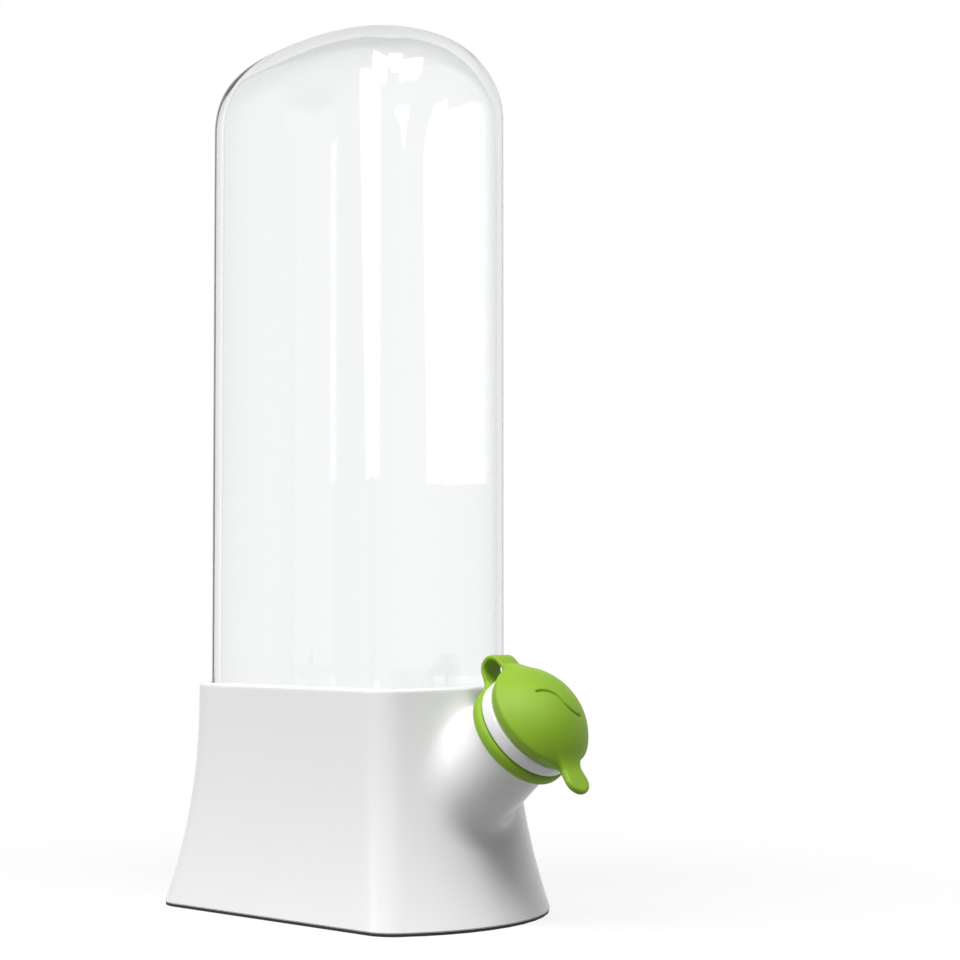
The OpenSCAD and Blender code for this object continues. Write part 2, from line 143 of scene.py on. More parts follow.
COLLAR_BOTTOM = -8.2
NECK_TOP = -8.4
CAP_R = 16.5
CAP_BOTTOM = 0.2
CAP_EDGE = 3.2
CAP_UNDERCUT = 1.1                   # how far the upright edge leans in towards its foot
CAP_DOME = 9.0
CAP_CREST = 0.4                      # rounding between the crown and the edge
CAP_FOOT = 0.6                       # rounding of the edge's foot
PLUG_R = 8.2
PLUG_L = 6.3
PLUG_CHAMFER = 1.6
PLUG_EDGE = 0.8
PLUG_DEPTH = 2.0                     # how far the plug's form runs up into the cap
PLUG_JOIN = 0.1
PLUG_FILLET = 0.3
TAB_TIP = CAP_R + 9.0
TAB_R = 4.2
TAB_ROOT_R = 3.7                     # half the tab's width where it leaves the cap
TAB_EDGE = 1.2
TAB_FILLET = 2.6
TAB_T = 2.2
TAB_LOW = CAP_BOTTOM + 1.5
STRAP_W = 7.6
STRAP_T = 1.25
STRAP_EDGE = 0.45
BEND_R = 4.0
STRAP_LEAN = math.radians(14)
STRAP_FILLET = 2.6                   # how widely the strap's roots spread
LEG_ENDS = (0.6, 5.8)                # stretch of each leg that belongs to the cap or the collar
LEG_SINK = 0.04                      # how far that stretch lies inside the strap's skin
LEG_LENGTHS = (4.2, 4.6)             # of the strap itself, into the collar and into the cap
hinge = next(j for j in frame["joints"] if j["name"] == "cap_flip")
HINGE = np.array(hinge["pos_m"]) / MM
HINGE_S = float((HINGE - MOUTH) @ AXIS)
HINGE_N = float((HINGE - MOUTH) @ UP)
WAVE_MID = (1.2, -0.8)               # middle of the crown's groove: down the cap, and across it
WAVE_R = 6.6
WAVE_TURN = math.radians(70)
GROOVE_R = 0.45
GROOVE_FLATTEN = 0.6                 # share of the depth that counts, so the groove is deeper
GROOVE_EDGE = 0.3


# ---------------------------------------------------------------- outlines

END_STEPS = 40                       # points along a bowed end
CORNER_STEPS = 14
SIDE_STEPS = 16                      # points along a straight side
MIDDLE = END_STEPS // 2              # points from the middle of an end to its corner


def flare(z):
    """Share of the foot's extra size that is left at height z."""
    return np.clip(1 - (z - PAD_TOP) / (RIM_Z - PAD_TOP), 0, 1) ** FLARE_POWER


def base_plan(z, inset=0.0):
    """Length, width, corner radius and end radius of the base's outline at height z."""
    f = flare(z)
    return (RIM_L + (FOOT_L - RIM_L) * f - 2 * inset, RIM_W + (FOOT_W - RIM_W) * f - 2 * inset,
            RIM_CORNER + (FOOT_CORNER - RIM_CORNER) * f - inset, END_R - inset)


def outline(length, width, corner, end):
    """Closed outline, anticlockwise from the middle of the +X end: always the same number of
    points, at matching places."""
    x0 = length / 2 - end
    yc = width / 2 - corner
    xc = x0 + math.sqrt((end - corner) ** 2 - yc ** 2)
    a = math.atan2(yc, xc - x0)
    quarter = [(x0 + end * math.cos(t), end * math.sin(t))
               for t in np.linspace(0, a, END_STEPS // 2, endpoint=False)]
    quarter += [(xc + corner * math.cos(t), yc + corner * math.sin(t))
                for t in np.linspace(a, math.pi / 2, CORNER_STEPS, endpoint=False)]
    quarter += [(x, width / 2) for x in np.linspace(xc, 0, SIDE_STEPS // 2, endpoint=False)]
    quarter = np.array(quarter)
    left = np.array([(0.0, width / 2)] + [(-x, y) for x, y in quarter[:0:-1]])
    upper = np.vstack([quarter, left])
    return np.vstack([upper, -upper])


def ring(plan, z):
    """The outline as points at height z."""
    flat = outline(*plan)
    return np.column_stack([flat, np.full(len(flat), z)])


def round_edge(start, end, steps=5):
    """Insets and heights along a quarter of an ellipse that turns from up to inwards."""
    (i0, z0), (i1, z1) = start, end
    return [(i0 + (i1 - i0) * (1 - math.cos(t)), z0 + (z1 - z0) * math.sin(t))
            for t in np.linspace(0, math.pi / 2, steps)]


def spout_point(s, n, y):
    """Point at station s, n above the spout's axis and y across."""
    s, n, y = np.broadcast_arrays(s, n, y)
    return MOUTH + s[..., None] * AXIS + n[..., None] * UP + y[..., None] * ACROSS


# ---------------------------------------------------------------- meshes

def make_object(name, points, faces, smooth_angle=40):
    """Object with a smooth-shaded mesh, from points in millimetres."""
    mesh = bpy.data.meshes.new(name)
    mesh.from_pydata([tuple(p) for p in np.asarray(points) * MM], [], faces)
    bm = bmesh.new()
    bm.from_mesh(mesh)
    bmesh.ops.remove_doubles(bm, verts=bm.verts, dist=1e-7)
    bmesh.ops.recalc_face_normals(bm, faces=bm.faces)
    bm.to_mesh(mesh)
    bm.free()
    mesh.validate()
    mesh.shade_smooth()
    mesh.set_sharp_from_angle(angle=math.radians(smooth_angle))
    obj = bpy.data.objects.new(name, mesh)
    bpy.context.scene.collection.objects.link(obj)
    return obj


class Builder:
    """Collects rings of points and the quads between them."""

    def __init__(self):
        self.points = []
        self.faces = []

    def add(self, ring_points):
        start = sum(len(p) for p in self.points)
        self.points.append(np.asarray(ring_points, float))
        return np.arange(start, start + len(ring_points))

    def bridge(self, a, b):
        for i in range(len(a)):
            j = (i + 1) % len(a)
            self.faces.append((int(a[i]), int(a[j]), int(b[j]), int(b[i])))

    def bridge_all(self, loops):
        for a, b in zip(loops, loops[1:]):
            self.bridge(a, b)

    def loft(self, rings):
        loops = [self.add(r) for r in rings]
        self.bridge_all(loops)
        return loops

    def cap(self, indices):
        self.faces.append(tuple(int(i) for i in indices))

    def object(self, name, smooth_angle=40):
        return make_object(name, np.vstack(self.points), self.faces, smooth_angle)


def fillet_profile(corners, radii, steps=5):
    """Profile through corner points, with each corner rounded by its radius."""
    corners = [np.array(c, float) for c in corners]
    out = []
    count = len(corners)
    for i, (c, r) in enumerate(zip(corners, radii)):
        before, after = corners[i - 1], corners[(i + 1) % count]
        u, v = before - c, after - c
        lu, lv = np.linalg.norm(u), np.linalg.norm(v)
        if r <= 0 or lu < 1e-9 or lv < 1e-9:
            out.append(c)
            continue
        u, v = u / lu, v / lv
        half = math.acos(np.clip(u @ v, -1, 1)) / 2
        t = min(r / math.tan(half), lu / 2.05, lv / 2.05)
        p0, p1 = c + u * t, c + v * t
        for q in np.linspace(0, 1, steps):
            out.append((1 - q) ** 2 * p0 + 2 * q * (1 - q) * c + q * q * p1)
    return out


def lathe(name, profile, sides=128):
    """Closed ring turned about the spout's axis, from a closed profile of (radius, station)."""
    angles = np.arange(sides) * 2 * math.pi / sides
    build = Builder()
    loops = [build.add(spout_point(np.full(sides, s), r * np.cos(angles), r * np.sin(angles)))
             for r, s in profile]
    build.bridge_all(loops + loops[:1])
    return build.object(name)


# ---------------------------------------------------------------- distance fields

def plan_distance(x, y, length, width, corner, end):
    """Distance from the outline, seen from above: below 0 inside."""
    x, y = np.abs(x), np.abs(y)
    x0 = length / 2 - end
    yc = width / 2 - corner
    xc = x0 + np.sqrt((end - corner) ** 2 - yc ** 2)
    a = np.arctan2(yc, xc - x0)
    t = np.arctan2(y - yc, x - xc)
    on_end = np.arctan2(y, x - x0) < a
    on_corner = (t >= 0) & (x >= xc)
    d_side = y - width / 2
    d_corner = np.hypot(x - xc, y - yc) - corner
    d_end = np.hypot(x - x0, y) - end
    return np.where(on_end & (x > xc), d_end, np.where(on_corner | (x > xc), d_corner, d_side))


def smooth_min(a, b, k):
    """The lesser of two distances, with the crease between them filled over a width k."""
    h = np.maximum(k - np.abs(a - b), 0) / k
    return np.minimum(a, b) - h * h * k / 4


def smooth_max(a, b, k):
    return -smooth_min(-a, -b, k)


def spout_coordinates(p):
    d = p - MOUTH
    return d @ AXIS, d @ UP, d @ ACROSS


def base_distance(p):
    length, width, corner, end = base_plan(p[:, 2])
    slope = (base_plan(p[:, 2] - 0.5)[0] - base_plan(p[:, 2] + 0.5)[0]) / 2
    return plan_distance(p[:, 0], p[:, 1], length, width, corner, end) / np.sqrt(1 + slope ** 2)


def neck_distance(p):
    s, n, y = spout_coordinates(p)
    return np.hypot(n, y) - (NECK_R + NECK_TAPER * (NECK_TOP - s))


def skin_distance(p):
    """Outer skin of the base, with the neck blended in."""
    t = np.clip((RIM_Z - BLEND_FROM - p[:, 2]) / BLEND_OVER, 0, 1)
    k = BLEND_HIGH + (BLEND_LOW - BLEND_HIGH) * t * t * (3 - 2 * t)
    return smooth_min(base_distance(p), neck_distance(p), k)


def gradient(field, p, step=0.02):
    g = np.empty_like(p)
    for axis in range(3):
        d = np.zeros(3)
        d[axis] = step
        g[:, axis] = (field(p + d) - field(p - d)) / (2 * step)
    return g


def settle(field, p, rounds=6):
    """Moves points on to the field's zero surface along its gradient."""
    p = np.array(p, float)
    for _ in range(rounds):
        g = gradient(field, p)
        p -= (field(p) / np.maximum((g * g).sum(1), 1e-6))[:, None] * g
    return p


def surface_net(name, field, low, high, step, smooth_angle=50):
    """Mesh of the field's zero surface on a grid, with its points settled on the surface."""
    axes = [np.arange(a, b + step, step) for a, b in zip(low, high)]
    grid = np.stack(np.meshgrid(*axes, indexing="ij"), -1)
    shape = grid.shape[:3]
    values = field(grid.reshape(-1, 3)).reshape(shape)
    inside = values < 0
    cells = tuple(n - 1 for n in shape)
    corner_sum = np.zeros(cells, int)
    for dx in (0, 1):
        for dy in (0, 1):
            for dz in (0, 1):
                corner_sum += inside[dx:dx + cells[0], dy:dy + cells[1], dz:dz + cells[2]]
    mixed = (corner_sum > 0) & (corner_sum < 8)
    index = np.full(cells, -1)
    index[mixed] = np.arange(mixed.sum())
    origin = np.array([a[0] for a in axes])
    points = origin + (np.argwhere(mixed) + 0.5) * step
    faces = []
    for axis in range(3):
        other = [k for k in range(3) if k != axis]
        a = np.take(inside, range(shape[axis] - 1), axis)
        b = np.take(inside, range(1, shape[axis]), axis)
        for cell in np.argwhere(a != b):
            quad = []
            for du, dv in ((0, 0), (1, 0), (1, 1), (0, 1)):
                c = cell.copy()
                c[other[0]] -= du
                c[other[1]] -= dv
                quad.append(index[tuple(c)])
            faces.append(tuple(int(q) for q in quad))
    return make_object(name, settle(field, points), faces, smooth_angle)


# ---------------------------------------------------------------- base

PATCH_LEVELS = (9.0, RIM_Z - 1.6)    # heights between which the neck's patch joins the wall
PATCH_COLUMN = MIDDLE + 9            # outline points on each side of the middle of the end
PATCH_ROWS = 40
BORE_LEVELS = (16.0, LEDGE_Z - LEDGE_T - 1.0)
BORE_COLUMN = MIDDLE - 1
BORE_ROWS = 30
WALL_START = 1.6                     # height over the pad of the first ring above the foot's edge
WALL_ROWS = 7
TANK_ROWS = 6
ROOT_ROWS = 15                       # rings from the patch's border to the neck's root
NECK_ROWS = 13                       # rings from there to the neck's top
PASSAGE_ROWS = 7                     # rings round the passage's mouth in the tank
WALL_STATION = -18                   # stations near the wall's outside and inside, from which
TANK_STATION = -26                   # the search for them starts


def patch_border(loops, columns):
    """Indices round a block of the wall, anticlockwise seen from outside: bottom, +Y side,
    top, -Y side."""
    column = list(range(-columns, columns + 1))
    bottom = [loops[0][c] for c in column]
    right = [loop[columns] for loop in loops[1:-1]]
    top = [loops[-1][c] for c in reversed(column)]
    left = [loop[-columns] for loop in reversed(loops[1:-1])]
    return np.array(bottom + right + top + left)


def skip_patch(build, a, b, columns):
    """Quads between two loops, apart from those of the block round the middle of the end."""
    n = len(a)
    for i in range(columns, n - columns):
        j = (i + 1) % n
        build.faces.append((int(a[i]), int(a[j]), int(b[j]), int(b[i])))


def line_to_wall(field, n, y, start):
    """Station at which lines along the spout's axis meet a surface."""
    s = np.full(len(n), float(start))
    for _ in range(20):
        s -= field(spout_point(s, n, y))
    return s


def neck_patch(build, border):
    """Rings from a border in the outer wall over the neck, its end and down its bore. Returns
    the last ring and its points' angles round the spout's axis."""
    s, n, y = spout_coordinates(np.vstack(build.points)[border])
    angle = np.arctan2(y, n)
    radius = np.hypot(n, y)

    def turned(station, r):
        return spout_point(station, r * np.cos(angle), r * np.sin(angle))
    root_r = NECK_R + NECK_TAPER * SPOUT_REACH
    crease = line_to_wall(base_distance, root_r * np.cos(angle), root_r * np.sin(angle),
                          WALL_STATION)
    rings = []
    for q in np.linspace(0, 1, ROOT_ROWS)[1:]:
        on_wall = turned(s + (crease - s) * q, radius + (root_r - radius) * q)
        rings.append(settle(base_distance, on_wall))
    for q in np.linspace(0, 1, NECK_ROWS)[1:]:
        station = crease + (NECK_TOP - crease) * q
        rings.append(turned(station, NECK_R + NECK_TAPER * (NECK_TOP - station)))
    rings = [settle(skin_distance, r) for r in rings[:-1]] + [rings[-1]]
    # the neck's end: a shoulder behind the collar, the collar's seat and the sleeve's bore
    bore_end = -LIP_T - LIP_SLEEVE - RING_T
    for r, station in ((SEAT_R, NECK_TOP), (SEAT_R, -LIP_T - LIP_PLAY),
                       (SLEEVE_R, -LIP_T - LIP_PLAY), (SLEEVE_R, bore_end),
                       (PASSAGE_R, bore_end)):
        rings.append(turned(np.full(len(angle), station), r))
    loops = [border] + [build.add(r) for r in rings]
    build.bridge_all(loops)
    return loops[-1], angle


def tank_distance(p):
    """Distance from the tank's wall, seen from above: below 0 inside the tank."""
    return plan_distance(p[:, 0], p[:, 1], *base_plan(p[:, 2], BASE_WALL))


def passage_mouth(build, border):
    """Rings from a border in the tank's wall to the passage's mouth in it. Returns the last
    ring and its points' angles."""
    s, n, y = spout_coordinates(np.vstack(build.points)[border])
    angle = np.unwrap(np.arctan2(y, n))
    radius = np.hypot(n, y)
    mouth = line_to_wall(tank_distance, PASSAGE_R * np.cos(angle), PASSAGE_R * np.sin(angle),
                         TANK_STATION)
    loops = [border]
    for q in np.linspace(0, 1, PASSAGE_ROWS)[1:]:
        r = radius + (PASSAGE_R - radius) * q
        guess = spout_point(s + (mouth - s) * q, r * np.cos(angle), r * np.sin(angle))
        loops.append(build.add(guess if q == 1 else settle(tank_distance, guess)))
    build.bridge_all(loops)
    return loops[-1], angle


def strip(build, loop_a, angle_a, loop_b, angle_b):
    """Triangles between two closed loops round the same axis with unlike numbers of points."""
    wrap = 2 * math.pi
    pa = sorted((float(np.mod(angle, wrap)), int(i)) for angle, i in zip(angle_a, loop_a))
    pb = sorted((float(np.mod(angle, wrap)), int(i)) for angle, i in zip(angle_b, loop_b))
    i = j = 0
    na, nb = len(pa), len(pb)
    while i < na or j < nb:
        next_a = pa[(i + 1) % na][0] + wrap * ((i + 1) // na)
        next_b = pb[(j + 1) % nb][0] + wrap * ((j + 1) // nb)
        if j >= nb or (i < na and next_a <= next_b):
            build.faces.append((pa[i % na][1], pa[(i + 1) % na][1], pb[j % nb][1]))
            i += 1
        else:
            build.faces.append((pa[i % na][1], pb[(j + 1) % nb][1], pb[j % nb][1]))
            j += 1


def base_piece():
    """The base's skin from its foot over the rim into the tank and out at the bottom, with the
    neck and its passage let into one end."""
    build = Builder()
    foot_edge = [(FOOT_EDGE - i, PAD_TOP + z)
                 for i, z in round_edge((0, 0), (FOOT_EDGE, FOOT_EDGE))]
    foot = [ring(base_plan(z, i), z) for i, z in foot_edge]
    low_wall = [ring(base_plan(z), z)
                for z in np.linspace(PAD_TOP + WALL_START, PATCH_LEVELS[0], WALL_ROWS)[:-1]]
    block = [ring(base_plan(z), z) for z in np.linspace(*PATCH_LEVELS, PATCH_ROWS)]
    rim = [ring(base_plan(z, i), z)
           for i, z in round_edge((0, RIM_Z - RIM_EDGE), (RIM_EDGE, RIM_Z))]
    mouth = [ring(base_plan(z, LIP_WALL - i), z)
             for i, z in round_edge((0, RIM_Z - MOUTH_EDGE), (MOUTH_EDGE, RIM_Z))[::-1]]
    socket = (COVER_L + 2 * COVER_GAP, COVER_W + 2 * COVER_GAP, COVER_CORNER + COVER_GAP,
              END_R - LIP_WALL)
    opening = (socket[0] - 2 * LEDGE_W, socket[1] - 2 * LEDGE_W, socket[2] - LEDGE_W / 2,
               socket[3] - LEDGE_W)
    ledge = [ring(socket, RIM_Z - SOCKET_DEPTH), ring(socket, LEDGE_Z), ring(opening, LEDGE_Z),
             ring(opening, LEDGE_Z - LEDGE_T)]
    under = [ring(base_plan(LEDGE_Z - LEDGE_T, BASE_WALL), LEDGE_Z - LEDGE_T)]
    bore_block = [ring(base_plan(z, BASE_WALL), z)
                  for z in np.linspace(*BORE_LEVELS[::-1], BORE_ROWS)]
    floor_z = PLATE_SEAT + SHOULDER_T
    tank = [ring(base_plan(z, BASE_WALL), z)
            for z in np.linspace(BORE_LEVELS[0], floor_z, TANK_ROWS)[1:]]
    seat_plan = base_plan(PLATE_SEAT)
    recess = (seat_plan[0] - 2 * SKIRT_WALL, seat_plan[1] - 2 * SKIRT_WALL,
              seat_plan[2] - SKIRT_WALL, END_R - SKIRT_WALL)
    hole = (recess[0] - 2 * SHOULDER_W, recess[1] - 2 * SHOULDER_W, recess[2] - SHOULDER_W / 2,
            recess[3] - SHOULDER_W)
    bottom = [ring(hole, floor_z), ring(hole, PLATE_SEAT), ring(recess, PLATE_SEAT),
              ring(recess, PAD_TOP)]

    outer = build.loft(foot + low_wall + [block[0]])
    block_loops = [outer[-1]] + [build.add(r) for r in block[1:]]
    for a, b in zip(block_loops, block_loops[1:]):
        skip_patch(build, a, b, PATCH_COLUMN)
    upper = [block_loops[-1]] + [build.add(r) for r in rim + mouth + ledge + under]
    build.bridge_all(upper)
    bore_loops = [build.add(r) for r in bore_block]
    build.bridge(upper[-1], bore_loops[0])
    for a, b in zip(bore_loops, bore_loops[1:]):
        skip_patch(build, a, b, BORE_COLUMN)
    lower = [bore_loops[-1]] + [build.add(r) for r in tank + bottom]
    build.bridge_all(lower)
    build.bridge(lower[-1], outer[0])
    neck_end = neck_patch(build, patch_border(block_loops, PATCH_COLUMN))
    tank_end = passage_mouth(build, patch_border(bore_loops[::-1], BORE_COLUMN))
    strip(build, *neck_end, *tank_end)
    return build.object("base_skin", 35)


# ---------------------------------------------------------------- stopper

def box_distance(u, v, w, size_u, size_v, size_w, r):
    """Rounded box round the origin."""
    q = np.stack([np.abs(u) - size_u + r, np.abs(v) - size_v + r, np.abs(w) - size_w + r], -1)
    outside = np.linalg.norm(np.maximum(q, 0), axis=-1)
    return outside + np.minimum(q.max(-1), 0) - r


def wave_distance(x, y):
    """Distance from the S-shaped line on the crown, seen along the spout's axis."""
    x, y = x - WAVE_MID[0], y - WAVE_MID[1]
    best = np.full(x.shape, 1e9)
    for sign in (1, -1):
        cx = x * sign - WAVE_R * math.cos(WAVE_TURN)
        cy = y * sign + WAVE_R * math.sin(WAVE_TURN)
        t = np.arctan2(cy, -cx)
        t_near = np.clip(t, 0, WAVE_TURN)
        d = np.hypot(cx + WAVE_R * np.cos(t_near), cy - WAVE_R * np.sin(t_near))
        best = np.minimum(best, d)
    return best


def cap_distance(p):
    """The stopper: an edge band, a crown, a pull tab and the strap's root, blended, with a
    groove and the plug below."""
    s, n, y = spout_coordinates(p)
    r = np.hypot(n, y)
    sphere_r = (CAP_R ** 2 + CAP_DOME ** 2) / (2 * CAP_DOME)
    centre = CAP_BOTTOM + CAP_EDGE + CAP_DOME - sphere_r
    crown = np.sqrt(r ** 2 + (s - centre) ** 2) - sphere_r
    lean = CAP_UNDERCUT / CAP_EDGE
    above_foot = np.clip(CAP_BOTTOM + CAP_EDGE - s, 0, CAP_EDGE)
    side = (r - CAP_R + lean * above_foot) / math.hypot(1, lean)
    body = smooth_max(smooth_max(crown, side, CAP_CREST), CAP_BOTTOM - s, CAP_FOOT)
    # pull tab: a flat tongue with a round end, slightly wider at its tip
    along = -n
    tip = TAB_TIP - TAB_R
    reach = np.clip(along, 0, tip)
    half_width = np.interp(along, [CAP_R - 1, tip], [TAB_ROOT_R, TAB_R])
    flat = np.hypot(along - reach, y) - half_width
    middle = TAB_LOW + TAB_T / 2
    tongue = smooth_max(flat, np.abs(s - middle) - TAB_T / 2, TAB_EDGE)
    body = smooth_min(body, tongue, TAB_FILLET)
    body = smooth_min(body, leg_distance(p, 1), STRAP_FILLET)
    depth = np.maximum(-crown, 0) * GROOVE_FLATTEN
    groove = np.hypot(wave_distance(-n, y), depth) - GROOVE_R
    body = smooth_max(body, -groove, GROOVE_EDGE)
    plug_r = np.interp(s, [CAP_BOTTOM - PLUG_L, CAP_BOTTOM - PLUG_L + PLUG_CHAMFER],
                       [PLUG_R - PLUG_CHAMFER, PLUG_R])
    plug = smooth_max(r - plug_r, CAP_BOTTOM - PLUG_L - s, PLUG_EDGE)
    plug = smooth_max(plug, s - PLUG_DEPTH, PLUG_JOIN)
    return smooth_min(body, plug, PLUG_FILLET)


def leg_distance(p, side):
    """End of the strap's leg that runs into the cap (side 1) or into the collar (side -1)."""
    s, n, y = spout_coordinates(p)
    mid_r = BEND_R - STRAP_T / 2
    s = s - HINGE_S - side * mid_r * math.cos(STRAP_LEAN)
    n = n - HINGE_N - mid_r * math.sin(STRAP_LEAN)
    along = s * side * math.sin(STRAP_LEAN) - n * math.cos(STRAP_LEAN)
    off = s * math.cos(STRAP_LEAN) + n * side * math.sin(STRAP_LEAN)
    first, last = LEG_ENDS
    return box_distance(along - (first + last) / 2, off, y, (last - first) / 2,
                        STRAP_T / 2 - LEG_SINK, STRAP_W / 2 - LEG_SINK, STRAP_EDGE)


def collar_distance(p):
    """The soft ring round the neck, with the strap's root."""
    s, n, y = spout_coordinates(p)
    r = np.hypot(n, y)
    ring_side = smooth_max(r - COLLAR_R, SEAT_R + COLLAR_PLAY - r, COLLAR_BORE_EDGE)
    ring_ends = np.abs(s - (COLLAR_TOP + COLLAR_BOTTOM) / 2) - (COLLAR_TOP - COLLAR_BOTTOM) / 2
    body = smooth_max(ring_side, ring_ends, COLLAR_EDGE)
    grown = smooth_min(body, leg_distance(p, -1), STRAP_FILLET)
    return np.maximum(grown, s - COLLAR_TOP)


NET_MARGIN = 1                       # room round a piece in its grid
CAP_STEP = 0.28
COLLAR_STEP = 0.4
BEND_STEPS = 26                      # sections along the strap's bend
LEG_STEPS = (8, 10)                  # and along its legs


def in_spout_frame(field):
    """The same field for points given as (station, height over the axis, across)."""
    return lambda q: field(MOUTH + q[:, :1] * AXIS + q[:, 1:2] * UP + q[:, 2:3] * ACROSS)


def spout_net(name, field, low, high, step):
    """Mesh of a field round the spout's axis. The piece's corners are in the spout's own axes."""
    low = [v - NET_MARGIN for v in low]
    high = [v + NET_MARGIN for v in high]
    obj = surface_net(name, in_spout_frame(field), low, high, step)
    turn = Matrix([[*AXIS[:1], UP[0], ACROSS[0]], [AXIS[1], UP[1], ACROSS[1]],
                   [AXIS[2], UP[2], ACROSS[2]]]).to_4x4()
    obj.data.transform(Matrix.Translation(Vector(MOUTH * MM)) @ turn)
    return obj


def cap_piece():
    low = (CAP_BOTTOM - PLUG_L, -TAB_TIP, -CAP_R)
    high = (CAP_BOTTOM + CAP_EDGE + CAP_DOME, HINGE_N, CAP_R)
    return spout_net("stopper_cap", cap_distance, low, high, CAP_STEP)


def collar_piece():
    low = (COLLAR_BOTTOM, -COLLAR_R, -COLLAR_R)
    high = (COLLAR_TOP, HINGE_N, COLLAR_R)
    return spout_net("stopper_collar", collar_distance, low, high, COLLAR_STEP)


def strap_piece():
    """Band that leaves the collar, bends over and comes down on to the crown."""
    def at(angle, radius):
        return np.array([HINGE_S + radius * math.cos(angle), HINGE_N + radius * math.sin(angle)])
    mid_r = BEND_R - STRAP_T / 2
    collar_turn = math.pi - STRAP_LEAN
    cap_turn = STRAP_LEAN
    cap_leg = np.array([math.sin(STRAP_LEAN), -math.cos(STRAP_LEAN)])
    collar_leg = np.array([-cap_leg[0], cap_leg[1]])
    start = at(collar_turn, mid_r)
    end = at(cap_turn, mid_r)
    path = [start + collar_leg * d
            for d in np.linspace(LEG_LENGTHS[0], 0, LEG_STEPS[0], endpoint=False)]
    path += [at(t, mid_r) for t in np.linspace(collar_turn, cap_turn, BEND_STEPS)]
    path += [end + cap_leg * d for d in np.linspace(0, LEG_LENGTHS[1], LEG_STEPS[1])[1:]]
    path = np.array(path)
    tangent = np.gradient(path, axis=0)
    tangent /= np.linalg.norm(tangent, axis=1)[:, None]
    normal = np.column_stack([-tangent[:, 1], tangent[:, 0]])
    build = Builder()
    loops = []
    for c, nrm in zip(path, normal):
        section = rounded_section(STRAP_W / 2, STRAP_T / 2, STRAP_EDGE)
        pts = [spout_point(c[0] + v * nrm[0], c[1] + v * nrm[1], u) for u, v in section]
        loops.append(build.add(np.array(pts).reshape(-1, 3)))
    build.bridge_all(loops)
    build.cap(loops[0])
    build.cap(loops[-1])
    return build.object("stopper_strap", 50)


def rounded_section(half_w, half_t, r, steps=4):
    """The strap's cross-section: an oblong with round corners."""
    out = []
    for sx, sy, a0 in ((1, 1, 0), (-1, 1, 90), (-1, -1, 180), (1, -1, 270)):
        for t in np.linspace(a0, a0 + 90, steps):
            out.append((sx * (half_w - r) + r * math.cos(math.radians(t)),
                        sy * (half_t - r) + r * math.sin(math.radians(t))))
    return out


# ---------------------------------------------------------------- clear cover

WALL_LEVELS = 14                     # rings up the cover's upright wall
CROWN_LEVELS = 60                    # rings over its crown
LOWER_EDGE_LEVELS = 9


def cover_plan(inset):
    """The cover's outline, as far inside its skin as the inset says."""
    return (COVER_L - 2 * inset, COVER_W - 2 * inset, COVER_CORNER - inset,
            END_R - LIP_WALL - COVER_GAP - inset)


def cover_shell(inset):
    """Rings of one skin of the cover: an upright wall, and a crown on which the outline turns
    into the oval that fits in it."""
    plan = cover_plan(inset)
    flat = outline(*plan)
    oval = flat / np.hypot(2 * flat[:, 0] / plan[0], 2 * flat[:, 1] / plan[1])[:, None]
    rings = [ring(plan, z)
             for z in np.linspace(COVER_FOOT + COVER_EDGE, SHOULDER_Z, WALL_LEVELS)]
    for a in np.linspace(0, math.pi / 2, CROWN_LEVELS)[1:]:
        rise = math.sin(a) ** (2 / SHOULDER_POWER)
        share = max(CROWN_TIP, math.cos(a) ** (2 / TOP_POWER))
        turned = rise ** OVAL_POWER
        level = share * ((1 - turned) * flat + turned * oval)
        z = SHOULDER_Z + (CROWN_RISE - inset) * rise
        rings.append(np.column_stack([level, np.full(len(level), z)]))
    return rings


def cover_piece():
    build = Builder()
    edge = []
    for t in np.linspace(0, math.pi, LOWER_EDGE_LEVELS)[1:-1]:
        inset = COVER_WALL / 2 * (1 - math.cos(t))
        edge.append(ring(cover_plan(inset), COVER_FOOT + COVER_EDGE - COVER_EDGE * math.sin(t)))
    loops = build.loft(cover_shell(0)[::-1] + edge + cover_shell(COVER_WALL))
    build.cap(loops[0])
    build.cap(loops[-1])
    return build.object("clear_dome", 30)


# ---------------------------------------------------------------- materials

def new_material(name):
    material = bpy.data.materials.new(name)
    material.use_nodes = True
    tree = material.node_tree
    return material, tree, tree.nodes["Principled BSDF"], tree.nodes["Material Output"]


def noise(tree, scale, detail=3.0, roughness=0.5):
    where = tree.nodes.new("ShaderNodeTexCoord")
    node = tree.nodes.new("ShaderNodeTexNoise")
    node.inputs["Scale"].default_value = scale
    node.inputs["Detail"].default_value = detail
    node.inputs["Roughness"].default_value = roughness
    tree.links.new(where.outputs["Object"], node.inputs["Vector"])
    return node.outputs["Fac"]


def spread(tree, value, low, high):
    """A value from 0 to 1, brought to the range from low to high."""
    node = tree.nodes.new("ShaderNodeMapRange")
    node.inputs["To Min"].default_value = low
    node.inputs["To Max"].default_value = high
    tree.links.new(value, node.inputs["Value"])
    return node.outputs["Result"]


def two_colours(tree, factor, first, second):
    node = tree.nodes.new("ShaderNodeMix")
    node.data_type = "RGBA"
    node.inputs["A"].default_value = (*first, 1)
    node.inputs["B"].default_value = (*second, 1)
    tree.links.new(factor, node.inputs["Factor"])
    return node.outputs["Result"]


def bump(tree, height, strength, distance):
    node = tree.nodes.new("ShaderNodeBump")
    node.inputs["Strength"].default_value = strength
    node.inputs["Distance"].default_value = distance
    tree.links.new(height, node.inputs["Height"])
    return node.outputs["Normal"]


CLOUD_SCALE = 45                     # of the cloud in a moulded piece's colour
GLOSS_SCALE = 140                    # of the unevenness of its gloss
GRAIN_STRENGTH = 0.25


